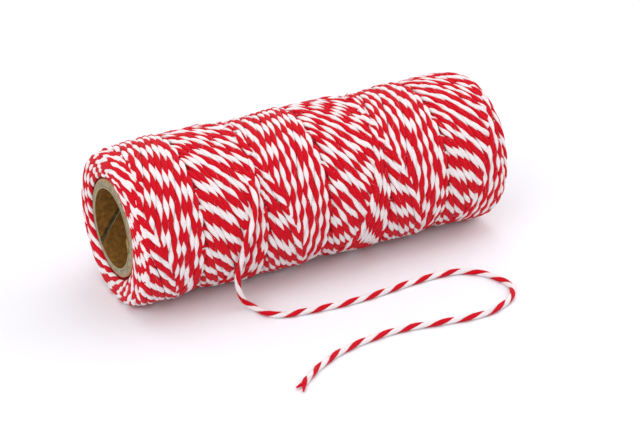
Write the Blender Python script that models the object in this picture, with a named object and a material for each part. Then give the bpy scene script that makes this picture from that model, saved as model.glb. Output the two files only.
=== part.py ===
"""Spool of bakers twine: a spiral-wound cardboard tube, two-ply twine wound on it in bands of
slanting turns, and one loose end that lies on the surface in front.

Metres, +Z up. The tube lies along X, its open end that faces the viewer's left at -X.
The origin is under the middle of the spool, on the surface that it rests on.
"""

import math

import bmesh
import bpy
from mathutils import Matrix, Quaternion, Vector
from mathutils.geometry import interpolate_bezier

# Twine
TWINE = 0.0020
LAY = 0.0088

# Cardboard tube
TUBE_LENGTH = 0.1250
TUBE_OUTER_RADIUS = 0.0150
TUBE_BORE_RADIUS = 0.0122
TUBE_RIM_CHAMFER = 0.0004
LINER_GAP_WIDTH = 0.0016
LINER_GAP_DEPTH = 0.0005
LINER_ADVANCE = 0.0108
LINER_START_ANGLE = math.radians(-133)
TUBE_COLUMNS = 24

# Winding
WOUND_RADIUS = 0.0240
AXIS_HEIGHT = 0.0234
AXIS_Y = 0.0
BANDS = 6
BAND_PITCH = 0.02094
FIRST_BAND_EDGE = 0.0192
BAND_SWING = 0.0110
SWING_SHARPNESS = 0.97
LAST_TURN_ANGLE = math.radians(15)
MAIN_TURNS = 8
MAIN_TURN_RELIEF = 0.0008
BAND_STEP = 0.0004
MEAN_RADIUS_SHARE = 0.988
SWELL_SHARE = 0.026
FLAT_HALF_WIDTH = 0.0036
FLAT_PRESS = 0.0012
COLUMNS_AROUND = 72

# Where across a band its rows of points lie, from its left edge to its right edge
BAND_ROWS = (0.015, 0.10, 0.20, 0.30, 0.40, 0.50, 0.60, 0.70, 0.80, 0.90, 0.985)

# One end of the winding, from the tube outwards: distance in from the tube's end, share of the
# wound radius, and how much of the relief it carries
CHEEK = (
    {"inset": 0.0009, "radius": 0.642, "relief": 0.0},
    {"inset": 0.0000, "radius": 0.665, "relief": 0.0},
    {"inset": -0.0007, "radius": 0.720, "relief": 1.0},
    {"inset": -0.0011, "radius": 0.790, "relief": -1.0},
    {"inset": -0.0009, "radius": 0.860, "relief": 1.0},
    {"inset": 0.0000, "radius": 0.925, "relief": -1.0},
    {"inset": 0.0016, "radius": 0.965, "relief": 1.0},
)
CHEEK_RELIEF = 0.0003
SHOULDER_INSET = 0.0030

# Route of the loose end, in millimetres: from the side of the winding, down to the surface,
# out and back in one loose S
LOOSE_END_ROUTE = (
    {"x": -31.3, "y": -26.0, "z": 23.2},
    {"x": -31.9, "y": -25.9, "z": 20.6},
    {"x": -32.6, "y": -25.5, "z": 17.6},
    {"x": -33.3, "y": -25.0, "z": 14.4},
    {"x": -33.7, "y": -24.5, "z": 11.0},
    {"x": -33.5, "y": -24.2, "z": 7.6},
    {"x": -32.7, "y": -24.3, "z": 4.4},
    {"x": -31.5, "y": -25.0, "z": 2.1},
    {"x": -30.0, "y": -27.4, "z": 1.1},
    {"x": -28.6, "y": -31.0, "z": 1.0},
    {"x": -26.4, "y": -34.0, "z": 1.0},
    {"x": -23.0, "y": -35.6, "z": 1.0},
    {"x": -18.6, "y": -36.5, "z": 1.0},
    {"x": -12.1, "y": -37.5, "z": 1.0},
    {"x": -3.9, "y": -38.3, "z": 1.0},
    {"x": 4.9, "y": -38.2, "z": 1.0},
    {"x": 13.6, "y": -37.5, "z": 1.0},
    {"x": 22.9, "y": -37.0, "z": 1.0},
    {"x": 31.2, "y": -37.4, "z": 1.0},
    {"x": 36.6, "y": -39.0, "z": 1.0},
    {"x": 40.6, "y": -42.3, "z": 1.0},
    {"x": 43.6, "y": -48.0, "z": 1.0},
    {"x": 44.1, "y": -53.6, "z": 1.0},
    {"x": 42.0, "y": -57.8, "z": 1.0},
    {"x": 38.0, "y": -60.8, "z": 1.0},
    {"x": 33.9, "y": -62.6, "z": 1.0},
    {"x": 29.0, "y": -63.6, "z": 1.0},
    {"x": 23.1, "y": -63.4, "z": 1.0},
    {"x": 15.6, "y": -62.0, "z": 1.0},
    {"x": 5.0, "y": -59.8, "z": 1.0},
    {"x": -2.0, "y": -59.2, "z": 1.0},
    {"x": -8.4, "y": -59.5, "z": 1.0},
    {"x": -15.0, "y": -60.3, "z": 1.0},
    {"x": -22.4, "y": -62.4, "z": 1.0},
    {"x": -30.1, "y": -66.1, "z": 1.0},
    {"x": -34.8, "y": -69.2, "z": 1.0},
    {"x": -37.8, "y": -71.8, "z": 1.0},
)
RINGS_PER_LAY = 9

# Cross-section of two plies laid together: angle in degrees, share of the twine's radius
PLY_SECTION = (
    {"angle": 35, "radius": 0.97},
    {"angle": 90, "radius": 0.66},
    {"angle": 145, "radius": 0.97},
    {"angle": 215, "radius": 0.97},
    {"angle": 270, "radius": 0.66},
    {"angle": 325, "radius": 0.97},
)

# Finishes: colour, roughness
TWINE_FINISH = {"name": "red and white cotton", "colour": (0.80, 0.27, 0.30), "roughness": 0.9}
BOARD_FINISH = {"name": "kraft board", "colour": (0.42, 0.31, 0.20), "roughness": 0.85}


def clear_scene():
    for item in list(bpy.data.objects):
        bpy.data.objects.remove(item)


def plain_material(finish):
    material = bpy.data.materials.new(finish["name"])
    material.use_nodes = True
    shader = material.node_tree.nodes["Principled BSDF"]
    shader.inputs["Base Color"].default_value = (*finish["colour"], 1.0)
    shader.inputs["Roughness"].default_value = finish["roughness"]
    shader.inputs["Metallic"].default_value = 0.0
    return material


def object_from_bmesh(name, mesh_data, material, smooth_angle):
    bmesh.ops.recalc_face_normals(mesh_data, faces=mesh_data.faces)
    mesh = bpy.data.meshes.new(name)
    mesh_data.to_mesh(mesh)
    mesh_data.free()
    mesh.shade_smooth()
    mesh.set_sharp_from_angle(angle=math.radians(smooth_angle))
    mesh.materials.append(material)
    item = bpy.data.objects.new(name, mesh)
    bpy.context.scene.collection.objects.link(item)
    return item


def ring_faces(mesh_data, first, second):
    """Joins two rings of points with triangles. Each four-sided patch is split along its shorter
    diagonal, which follows a ridge where there is one."""
    count = len(first)
    for i in range(count):
        j = (i + 1) % count
        a, b, c, d = first[i], first[j], second[j], second[i]
        if (a.co - c.co).length < (b.co - d.co).length:
            patch = ((a, b, c), (a, c, d))
        else:
            patch = ((a, b, d), (b, c, d))
        for corners in patch:
            mesh_data.faces.new(corners)


def around_axis(x, radius, angle):
    """A point at this angle from straight up, turning towards the viewer's side (-Y)."""
    return Vector((x, AXIS_Y - radius * math.sin(angle), AXIS_HEIGHT + radius * math.cos(angle)))


def smooth_step(low, high, value):
    t = min(max((value - low) / (high - low), 0.0), 1.0)
    return t * t * (3 - 2 * t)


def band_at(distance):
    """The band that shows at this distance from the near end, and how far into it that is."""
    band = max(0, min(BANDS - 1, math.ceil((distance - FIRST_BAND_EDGE) / BAND_PITCH)))
    right_edge = FIRST_BAND_EDGE + band * BAND_PITCH
    return band, distance - (right_edge - BAND_PITCH)


def last_turn_angle(band):
    """Every second band ends its winding half a turn further round."""
    return LAST_TURN_ANGLE + (0.0 if band % 2 else math.pi)


def swing(turn_angle):
    """Place of a turn across its band, from -1 to 1 and back once round the tube. It moves at a
    steady speed and turns round quickly at both sides."""
    return math.asin(SWING_SHARPNESS * math.cos(turn_angle)) / math.asin(SWING_SHARPNESS)


def main_turn_relief(band, into_band, angle):
    """Height of the coarse slanting turns. Each turn swings across its band once round the tube.
    Left of the band's last turn they slant one way, and right of it the other way."""
    swing_place = (into_band - (BAND_PITCH - BAND_SWING)) / BAND_SWING
    swing_place = min(max(swing_place, -1.0), 1.0)
    steady = math.sin(swing_place * math.asin(SWING_SHARPNESS)) / SWING_SHARPNESS
    lean = math.acos(min(max(steady, -1.0), 1.0))
    right_of_last_turn = swing_place > swing(angle - last_turn_angle(band))
    turn_angle = angle - lean if right_of_last_turn else angle + lean
    fade = min(1.0, 1.6 * math.sin(lean))
    return 0.5 * MAIN_TURN_RELIEF * fade * math.cos(MAIN_TURNS * turn_angle)


def swell(band, into_band, angle):
    """Slow rise and fall of the wound radius within a band, as a share of the wound radius."""
    to_right = 0.5 - 0.5 * math.cos(angle - last_turn_angle(band))
    crest = BAND_PITCH * (0.22 + 0.76 * to_right)
    return SWELL_SHARE * math.cos(math.pi * (into_band - crest) / BAND_PITCH)


def wound_radius(distance, angle):
    """Radius of the winding at a distance from the near end of the tube."""
    band, into_band = band_at(distance)
    share = MEAN_RADIUS_SHARE + swell(band, into_band, angle)
    step = BAND_STEP * (into_band / BAND_PITCH - 0.5)
    return WOUND_RADIUS * share + step + main_turn_relief(band, into_band, angle)


def seated(point):
    """Presses the underside flat where the spool rests."""
    if point.z < 0 or (abs(point.y - AXIS_Y) < FLAT_HALF_WIDTH and point.z < FLAT_PRESS):
        point.z = 0.0
    return point


def cheek_rings(at_far_end):
    """Rings of one end of the winding, from the tube out to the shoulder."""
    rings = []
    for row in CHEEK:
        inset = row["inset"]
        if at_far_end:
            x = TUBE_LENGTH / 2 - inset
            edge = TUBE_LENGTH - SHOULDER_INSET
        else:
            x = -TUBE_LENGTH / 2 + inset
            edge = SHOULDER_INSET
        ring = []
        outward = 1 if at_far_end else -1
        share_out = smooth_step(CHEEK[1]["radius"], 1.0, row["radius"])
        for column in range(COLUMNS_AROUND):
            angle = 2 * math.pi * column / COLUMNS_AROUND
            full = WOUND_RADIUS + share_out * (wound_radius(edge, angle) - WOUND_RADIUS)
            lift = CHEEK_RELIEF * row["relief"]
            ring.append(seated(around_axis(x + outward * lift, row["radius"] * full, angle)))
        rings.append(ring)
    return rings


def body_rings():
    """Rings of the winding between its shoulders, each band with a step at its right edge."""
    rings = []
    for band in range(BANDS):
        left_edge = FIRST_BAND_EDGE + (band - 1) * BAND_PITCH
        for place in BAND_ROWS:
            distance = left_edge + place * BAND_PITCH
            if not SHOULDER_INSET <= distance <= TUBE_LENGTH - SHOULDER_INSET:
                continue
            ring = []
            for column in range(COLUMNS_AROUND):
                angle = 2 * math.pi * column / COLUMNS_AROUND
                x = distance - TUBE_LENGTH / 2
                ring.append(seated(around_axis(x, wound_radius(distance, angle), angle)))
            rings.append(ring)
    return rings


def build_winding(material):
    """One closed solid: near cheek, bands, far cheek, and the hole that the tube fills."""
    rings = cheek_rings(False) + body_rings() + cheek_rings(True)[::-1]
    mesh_data = bmesh.new()
    loops = [[mesh_data.verts.new(point) for point in ring] for ring in rings]
    for first, second in zip(loops, loops[1:]):
        ring_faces(mesh_data, first, second)
    ring_faces(mesh_data, loops[-1], loops[0])
    return object_from_bmesh("wound_twine", mesh_data, material, 60)


def bore_ring(x):
    """One ring of the bore. Its points turn with the spiral of the liner, so that the narrow gap
    between the liner's edges runs along one row of faces."""
    seam = LINER_START_ANGLE + (x + TUBE_LENGTH / 2) / LINER_ADVANCE
    half_gap = 0.5 * LINER_GAP_WIDTH / TUBE_BORE_RADIUS
    wall = [(half_gap + 0.02, 0.0)]
    for step in range(1, TUBE_COLUMNS):
        wall.append((2 * math.pi * step / TUBE_COLUMNS, 0.0))
    wall.append((2 * math.pi - half_gap - 0.02, 0.0))
    gap = [(2 * math.pi - half_gap, LINER_GAP_DEPTH), (2 * math.pi + half_gap, LINER_GAP_DEPTH)]
    points = []
    for turn, depth in wall + gap:
        points.append(around_axis(x, TUBE_BORE_RADIUS + depth, seam + turn))
    return points


def turn_of(point):
    return math.atan2(AXIS_Y - point.co.y, point.co.z - AXIS_HEIGHT) % (2 * math.pi)


def fill_end(mesh_data, bore_loop, outer_loop):
    """The flat end of the board, filled with triangles once round between its two loops."""
    loops = []
    for loop in (bore_loop, outer_loop):
        first = min(range(len(loop)), key=lambda i: turn_of(loop[i]))
        ordered = loop[first:] + loop[:first]
        turns = [turn_of(point) for point in ordered]
        loops.append((ordered + ordered[:1], turns + [turns[0] + 2 * math.pi]))
    (inner, inner_turns), (outer, outer_turns) = loops
    i = 0
    j = 0
    while i < len(inner) - 1 or j < len(outer) - 1:
        inner_is_next = i < len(inner) - 1 and (
            j == len(outer) - 1 or inner_turns[i + 1] < outer_turns[j + 1]
        )
        if inner_is_next:
            mesh_data.faces.new((inner[i], inner[i + 1], outer[j]))
            i += 1
        else:
            mesh_data.faces.new((outer[j], outer[j + 1], inner[i]))
            j += 1


def build_tube(material):
    """The cardboard tube: straight outside, with the liner's spiral gap in its bore."""
    columns = TUBE_COLUMNS + 3
    half = TUBE_LENGTH / 2
    rows = math.ceil(TUBE_LENGTH / (LINER_ADVANCE * 2 * math.pi / TUBE_COLUMNS))
    mesh_data = bmesh.new()
    bore = []
    for row in range(rows + 1):
        x = -half + TUBE_LENGTH * row / rows
        bore.append([mesh_data.verts.new(point) for point in bore_ring(x)])
    for first, second in zip(bore, bore[1:]):
        ring_faces(mesh_data, first, second)
    outside = []
    for x, radius in (
        (-half, TUBE_OUTER_RADIUS - TUBE_RIM_CHAMFER),
        (-half + TUBE_RIM_CHAMFER, TUBE_OUTER_RADIUS),
        (half - TUBE_RIM_CHAMFER, TUBE_OUTER_RADIUS),
        (half, TUBE_OUTER_RADIUS - TUBE_RIM_CHAMFER),
    ):
        ring = []
        for column in range(2 * columns):
            angle = math.pi * column / columns
            ring.append(mesh_data.verts.new(around_axis(x, radius, angle)))
        outside.append(ring)
    for first, second in zip(outside, outside[1:]):
        ring_faces(mesh_data, first, second)
    fill_end(mesh_data, bore[0], outside[0])
    fill_end(mesh_data, bore[-1], outside[-1])
    return object_from_bmesh("core_tube", mesh_data, material, 50)


def smooth_route():
    """Points a short step apart on a smooth curve through the loose end's own points."""
    corners = [Vector((row["x"], row["y"], row["z"])) * 0.001 for row in LOOSE_END_ROUTE]
    dense = []
    for i in range(len(corners) - 1):
        before = corners[max(i - 1, 0)]
        start = corners[i]
        end = corners[i + 1]
        after = corners[min(i + 2, len(corners) - 1)]
        span = (end - start).length
        leave = start + (end - before).normalized() * span / 3
        arrive = end - (after - start).normalized() * span / 3
        dense += interpolate_bezier(start, leave, arrive, end, 24)[:-1]
    dense.append(corners[-1])
    return dense


def even_steps(points, step):
    """The same route with its points evenly spaced."""
    total = sum((b - a).length for a, b in zip(points, points[1:]))
    count = round(total / step)
    spacing = total / count
    evenly = [points[0]]
    travelled = 0.0
    for a, b in zip(points, points[1:]):
        span = (b - a).length
        while len(evenly) < count and travelled + span >= spacing * len(evenly):
            share = (spacing * len(evenly) - travelled) / span
            evenly.append(a.lerp(b, share))
        travelled += span
    evenly.append(points[-1])
    return evenly


def build_loose_end(material):
    """The free end: its two plies turn once round each other in every lay."""
    route = even_steps(smooth_route(), LAY / RINGS_PER_LAY)
    mesh_data = bmesh.new()
    loops = []
    heading = (route[1] - route[0]).normalized()
    across = heading.cross(Vector((1, 0, 0))).normalized()
    for i, centre in enumerate(route):
        ahead = (route[min(i + 1, len(route) - 1)] - route[max(i - 1, 0)]).normalized()
        across = heading.rotation_difference(ahead) @ across
        heading = ahead
        loop = []
        for corner in PLY_SECTION:
            turn = math.radians(corner["angle"]) - 2 * math.pi * i / RINGS_PER_LAY
            spoke = Quaternion(heading, turn) @ across
            point = centre + spoke * (corner["radius"] * TWINE / 2)
            point.z = max(point.z, 0.0)
            loop.append(mesh_data.verts.new(point))
        loops.append(loop)
    for first, second in zip(loops, loops[1:]):
        ring_faces(mesh_data, first, second)
    for loop in (loops[0], loops[-1]):
        mesh_data.faces.new(loop)
    return object_from_bmesh("loose_end", mesh_data, material, 75)


def main():
    clear_scene()
    twine = plain_material(TWINE_FINISH)
    board = plain_material(BOARD_FINISH)
    spool = bpy.data.objects.new("spool", None)
    bpy.context.scene.collection.objects.link(spool)
    for item in (build_tube(board), build_winding(twine), build_loose_end(twine)):
        item.parent = spool
        item.matrix_parent_inverse = Matrix.Identity(4)


main()
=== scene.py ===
# %% [markdown]
# # A spool of bakers twine
#
# The real object is a cardboard tube with two-ply cotton twine wound on it. One ply is red and
# one is white, so the twine shows slanting red and white lozenges. The twine lies in six bands,
# and in each band the turns swing from side to side, which makes the crossing slants. One loose
# end comes off the winding and lies in front.
#
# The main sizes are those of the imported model. It is loaded first and never moved.

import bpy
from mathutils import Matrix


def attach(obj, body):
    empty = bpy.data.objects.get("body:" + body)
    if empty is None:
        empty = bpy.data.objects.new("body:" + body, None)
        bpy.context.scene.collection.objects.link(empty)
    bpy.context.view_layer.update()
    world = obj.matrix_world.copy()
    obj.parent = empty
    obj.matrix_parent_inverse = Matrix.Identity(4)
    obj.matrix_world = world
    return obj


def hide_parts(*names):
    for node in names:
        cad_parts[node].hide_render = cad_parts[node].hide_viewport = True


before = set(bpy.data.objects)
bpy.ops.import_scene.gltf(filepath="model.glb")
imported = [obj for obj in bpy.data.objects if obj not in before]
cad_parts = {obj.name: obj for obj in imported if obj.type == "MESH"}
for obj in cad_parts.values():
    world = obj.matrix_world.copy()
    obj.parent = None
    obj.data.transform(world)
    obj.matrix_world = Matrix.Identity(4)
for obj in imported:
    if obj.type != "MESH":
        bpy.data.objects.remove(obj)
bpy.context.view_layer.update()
print("packed nodes:", sorted(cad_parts))

# %% Modules and one helper
import math

import bpy
import numpy as np
from mathutils import Vector
from mathutils.geometry import interpolate_bezier


def deselect_all():
    bpy.ops.object.select_all(action="DESELECT")


deselect_all()
print("Blender", bpy.app.version_string)

# %% [markdown]
# ## Main sizes
#
# The tube lies along the X axis, and the surface that the spool rests on is at height zero. The
# sizes of the winding and the points of the loose end are in millimetres, and 1000 turns them
# into metres for the meshes. Other sizes are in metres, unless a comment says millimetres.

# %% Main sizes, in millimetres
TUBE_LENGTH = 125.0
WOUND_RADIUS = 24.0
AXIS_HEIGHT = 23.4
print("tube", TUBE_LENGTH, "mm long, its middle", AXIS_HEIGHT, "mm up")

# %% [markdown]
# ## Camera
#
# The view is a long lens from the left and above. Yaw, tilt and focal length were worked out
# from the round tube end, which shows as an ellipse, and from the long outline of the winding.

# %% Camera
IMAGE_WIDTH = 640
FOCAL_PIXELS = 1706
SENSOR_WIDTH = 36
CAMERA_PLACE = (-0.2280, -0.4202, 0.2541)
CAMERA_DOWN = math.radians(26.78)
CAMERA_YAW = math.radians(-29.3)

bpy.ops.object.camera_add(
    location=CAMERA_PLACE, rotation=(math.pi / 2 - CAMERA_DOWN, 0, CAMERA_YAW)
)
camera = bpy.context.object
camera.name = "camera"
camera.data.sensor_width = SENSOR_WIDTH
camera.data.lens = SENSOR_WIDTH * FOCAL_PIXELS / IMAGE_WIDTH
camera.data.clip_start = 0.01
bpy.context.scene.camera = camera
deselect_all()
print("lens", round(camera.data.lens, 1), "mm")

# %% [markdown]
# ## Cotton
#
# Each ply is a bundle of fine yarns, with loose fibres that catch the light. One node group
# draws the yarns and the fibres from the ply's own UV map, so that they follow every bend.
# U runs once round the ply, and V is the length along it in centimetres. The group also paints
# shade, a darker colour in the grooves between the yarns. The red and the white material use the
# same group with their own values.

# %% Two node helpers
def link_chain(tree, *pairs):
    for source, target in pairs:
        tree.links.new(source, target)


def math_node(tree, operation, first, second=None):
    node = tree.nodes.new("ShaderNodeMath")
    node.operation = operation
    for socket, value in zip(node.inputs, (first, second)):
        if isinstance(value, (int, float)):
            socket.default_value = value
        elif value is not None:
            tree.links.new(value, socket)
    return node.outputs[0]


print("node helpers ready")

# %% Cotton yarns as a node group
# The scales of its noises: how the yarns drift, the fibres on them, and random patches of darker
# tone
DRIFT_SCALE = 900
FIBRE_SCALE = 1.6
FIBRE_STRETCH = 9.0
PATCH_SCALE = 260


def cotton_group():
    group = bpy.data.node_groups.new("cotton yarns", "ShaderNodeTree")
    for name, start in (("Yarns", 4.0), ("Slant", 3.0), ("Groove shade", 0.1)):
        socket = group.interface.new_socket(name, in_out="INPUT", socket_type="NodeSocketFloat")
        socket.default_value = start
    for name in ("Height", "Shade"):
        group.interface.new_socket(name, in_out="OUTPUT", socket_type="NodeSocketFloat")
    given = group.nodes.new("NodeGroupInput")
    result = group.nodes.new("NodeGroupOutput")
    coordinates = group.nodes.new("ShaderNodeTexCoord")
    parts = group.nodes.new("ShaderNodeSeparateXYZ")
    link_chain(group, (coordinates.outputs["UV"], parts.inputs[0]))
    drift = group.nodes.new("ShaderNodeTexNoise")
    drift.inputs["Scale"].default_value = DRIFT_SCALE
    link_chain(group, (coordinates.outputs["Object"], drift.inputs["Vector"]))
    around = math_node(group, "MULTIPLY", parts.outputs["X"], given.outputs["Yarns"])
    along = math_node(group, "MULTIPLY", parts.outputs["Y"], given.outputs["Slant"])
    turns = math_node(group, "ADD", around, along)
    turns = math_node(group, "ADD", turns, math_node(group, "MULTIPLY", drift.outputs[0], 0.8))
    wave = math_node(group, "SINE", math_node(group, "MULTIPLY", turns, 2 * math.pi))
    yarns = math_node(group, "MULTIPLY_ADD", wave, 0.5)
    yarns.node.inputs[2].default_value = 0.5
    stretch = group.nodes.new("ShaderNodeCombineXYZ")
    for axis in ("X", "Y"):
        stretched = math_node(group, "MULTIPLY", parts.outputs[axis], FIBRE_STRETCH)
        link_chain(group, (stretched, stretch.inputs[axis]))
    fibres = group.nodes.new("ShaderNodeTexNoise")
    fibres.inputs["Scale"].default_value = FIBRE_SCALE
    fibres.inputs["Detail"].default_value = 5
    link_chain(group, (stretch.outputs[0], fibres.inputs["Vector"]))
    height = math_node(group, "ADD", yarns, math_node(group, "MULTIPLY", fibres.outputs[0], 0.9))
    link_chain(group, (height, result.inputs["Height"]))
    patches = group.nodes.new("ShaderNodeTexNoise")
    patches.inputs["Scale"].default_value = PATCH_SCALE
    link_chain(group, (coordinates.outputs["Object"], patches.inputs["Vector"]))
    # Painted shade: the grooves between the yarns get the darker colour, and random patches of
    # darker tone add to it
    dark = math_node(group, "SUBTRACT", 1.0, yarns)
    uneven = math_node(group, "MULTIPLY", dark, given.outputs["Groove shade"])
    mottle = math_node(group, "SUBTRACT", patches.outputs[0], 0.5)
    shade = math_node(group, "ADD", uneven, math_node(group, "MULTIPLY", mottle, 0.25))
    link_chain(group, (shade, result.inputs["Shade"]))
    return group


COTTON = cotton_group()
print("cotton group has", len(COTTON.nodes), "nodes")

# %% Red cotton and white cotton
YARN_HEIGHT = 0.00010


def cotton_material(name, colour, shaded, groove_shade, gloss):
    material = bpy.data.materials.new(name)
    material.use_nodes = True
    tree = material.node_tree
    shader = tree.nodes["Principled BSDF"]
    yarns = tree.nodes.new("ShaderNodeGroup")
    yarns.node_tree = COTTON
    yarns.inputs["Groove shade"].default_value = groove_shade
    # Painted shade: this mix puts the darker colour into the grooves between the yarns
    mix = tree.nodes.new("ShaderNodeMix")
    mix.data_type = "RGBA"
    mix.inputs["A"].default_value = (*colour, 1)
    mix.inputs["B"].default_value = (*shaded, 1)
    bump = tree.nodes.new("ShaderNodeBump")
    bump.inputs["Strength"].default_value = 0.8
    bump.inputs["Distance"].default_value = YARN_HEIGHT
    link_chain(
        tree,
        (yarns.outputs["Shade"], mix.inputs["Factor"]),
        (mix.outputs["Result"], shader.inputs["Base Color"]),
        (yarns.outputs["Height"], bump.inputs["Height"]),
        (bump.outputs["Normal"], shader.inputs["Normal"]),
    )
    shader.inputs["Roughness"].default_value = 0.9
    shader.inputs["Specular IOR Level"].default_value = gloss
    shader.inputs["Sheen Weight"].default_value = gloss
    shader.inputs["Sheen Roughness"].default_value = 0.5
    return material


# Each has its colour, and a darker colour painted as shade in the grooves between its yarns
RED = ((0.68, 0.0035, 0.015), (0.32, 0.001, 0.007))
# The white is tinted a little pink, painted as red light that the red ply bounces onto it, its
# shaded colour the most
WHITE = ((0.93, 0.868, 0.862), (0.56, 0.45, 0.46))
# Deeper twine: a darker red, painted as the shade between the turns that show
DEEP_SHADE_RED = ((0.40, 0.004, 0.012), (0.18, 0.001, 0.004))
RED_COTTON = cotton_material("red cotton", *RED, groove_shade=0.35, gloss=0.08)
WHITE_COTTON = cotton_material("white cotton", *WHITE, groove_shade=0.30, gloss=0.15)
DEEP_SHADE_COTTON = cotton_material("deep shade cotton", *DEEP_SHADE_RED, groove_shade=0.35, gloss=0.06)
print("three cotton materials")

# %% [markdown]
# ## Twine along a line
#
# By hand this is two bevelled curves wound round each other. The winding needs many metres of
# it, so a short function lays both plies along any line of points. Each ply is a closed tube
# with a cross-section like a D, flat where it presses on the other ply and a little lower at
# its corners, which leaves a groove. It turns left-handed round the line once in every lay. The
# wound twine is pulled tight, so it lies pressed a little flat on the turns beside it.

# %% Twine sizes and how one line is evened out
TWINE_RADIUS = 0.0010
WOUND_LAY = 0.0089
LOOSE_LAY = 0.0091
PLY_SIDES = 8
PLY_CORNERS = np.radians((-84, -60, -36, -12, 12, 36, 60, 84))
PLY_REACH = np.array((0.77, 0.94, 0.985, 1.0, 1.0, 0.985, 0.94, 0.77))
# Share of its radius that the twine keeps outwards and to the side
ROUND = (1.0, 1.0)
PRESSED = (0.80, 1.10)
OVER_TABLE = 0.00002
UV_PER_METRE = 100


def distance_along(points):
    spans = np.linalg.norm(np.diff(points, axis=0), axis=1)
    return np.concatenate([[0], np.cumsum(spans)])


def evened(points, step):
    """New points a fixed step apart: each one's place among the old points, and its distance."""
    reached = distance_along(points)
    count = max(3, int(round(reached[-1] / step)) + 1)
    wanted = np.linspace(0, reached[-1], count)
    place = np.interp(wanted, reached, np.arange(len(points)))
    return place, wanted


def at_place(values, place):
    index = np.arange(len(values))
    if values.ndim == 1:
        return np.interp(place, index, values)
    return np.stack([np.interp(place, index, column) for column in values.T], axis=1)


def unit(vectors):
    return vectors / np.linalg.norm(vectors, axis=-1, keepdims=True)


print("twine", 2000 * TWINE_RADIUS, "mm thick")

# %% Lay two plies along lines
def ply_rings(points, up, twist, size, red_share, pressed):
    """Rings of both plies: an array of ply, ring, side and coordinate."""
    tangent = unit(np.gradient(points, axis=0))
    outward = unit(up - tangent * np.sum(up * tangent, axis=1, keepdims=True))
    side = np.cross(tangent, outward) * pressed[1]
    outward = outward * pressed[0]
    plies = []
    for half_turn, share in ((0.0, red_share), (np.pi, 2 - red_share)):
        out_by = PLY_REACH * np.cos(PLY_CORNERS * share)
        across_by = PLY_REACH * np.sin(PLY_CORNERS * share)
        angle = (twist + half_turn)[:, None]
        radial = np.cos(angle) * outward + np.sin(angle) * side
        around = -np.sin(angle) * outward + np.cos(angle) * side
        ring = radial[:, None, :] * out_by[None, :, None]
        ring = ring + around[:, None, :] * across_by[None, :, None]
        plies.append(points[:, None, :] + ring * (TWINE_RADIUS * size)[:, None, None])
    return np.stack(plies)


def cotton_object(mesh, finish):
    """Give each face of the mesh the cotton of its ply, and put the mesh in the scene."""
    mesh.materials.append(RED_COTTON)
    mesh.materials.append(WHITE_COTTON)
    mesh.polygons.foreach_set("material_index", np.asarray(finish, np.int32))
    mesh.polygons.foreach_set("use_smooth", np.ones(len(finish), bool))
    mesh.update()
    piece = bpy.data.objects.new(mesh.name, mesh)
    bpy.context.scene.collection.objects.link(piece)
    return piece


def twine_mesh(name, lines, step):
    """One mesh object of two-ply twine along all these lines."""
    all_points, all_faces, caps, all_uvs, finish, cap_finish = [], [], [], [], [], []
    start = 0
    for line in lines:
        place, along = evened(line["points"], step)
        points = at_place(line["points"], place)
        up = at_place(line["up"], place)
        twist = at_place(line["twist"], place)
        size = at_place(line["size"], place)
        plies = ply_rings(points, up, twist, size, line["red"], line["pressed"])
        plies[..., 2] = np.maximum(plies[..., 2], OVER_TABLE)
        rings = len(points)
        near = np.arange(rings - 1)[:, None] * PLY_SIDES + np.arange(PLY_SIDES)[None, :]
        turned = np.arange(rings - 1)[:, None] * PLY_SIDES
        turned = turned + (np.arange(PLY_SIDES)[None, :] + 1) % PLY_SIDES
        quads = np.stack([near, turned, turned + PLY_SIDES, near + PLY_SIDES], -1).reshape(-1, 4)
        u0 = np.tile(np.arange(PLY_SIDES) / PLY_SIDES, rings - 1)
        u1 = u0 + 1 / PLY_SIDES
        v0 = np.repeat(along[:-1] * UV_PER_METRE, PLY_SIDES)
        v1 = np.repeat(along[1:] * UV_PER_METRE, PLY_SIDES)
        uvs = np.stack([u0, v0, u1, v0, u1, v1, u0, v1], -1).reshape(-1, 2)
        for ply in (0, 1):
            all_points.append(plies[ply].reshape(-1, 3))
            all_faces += (quads + start).tolist()
            all_uvs.append(uvs)
            finish.append(np.full(len(quads), ply))
            first = list(range(start, start + PLY_SIDES))
            last = [start + (rings - 1) * PLY_SIDES + corner for corner in range(PLY_SIDES)]
            caps += [first[::-1], last]
            cap_finish += [ply, ply]
            start += rings * PLY_SIDES
    mesh = bpy.data.meshes.new(name)
    mesh.from_pydata(np.concatenate(all_points).tolist(), [], all_faces + caps)
    uv_map = mesh.uv_layers.new(name="UVMap")
    uv = np.concatenate(all_uvs + [np.zeros((PLY_SIDES * len(caps), 2))])
    uv_map.uv.foreach_set("vector", uv.astype(np.float32).ravel())
    triangles = sum(len(face.vertices) - 2 for face in mesh.polygons)
    print(name, len(lines), "lines,", triangles, "triangles")
    return cotton_object(mesh, np.concatenate(finish + [cap_finish]))


# %% [markdown]
# ## The loose end
#
# The free end hangs from the side of the winding, reaches the table and lies there in one
# loose S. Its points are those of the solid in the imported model, in millimetres, and a smooth
# curve goes through them. A few more points carry the twine on over the winding, where it comes
# from, and that last stretch is a piece of its own.

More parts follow.
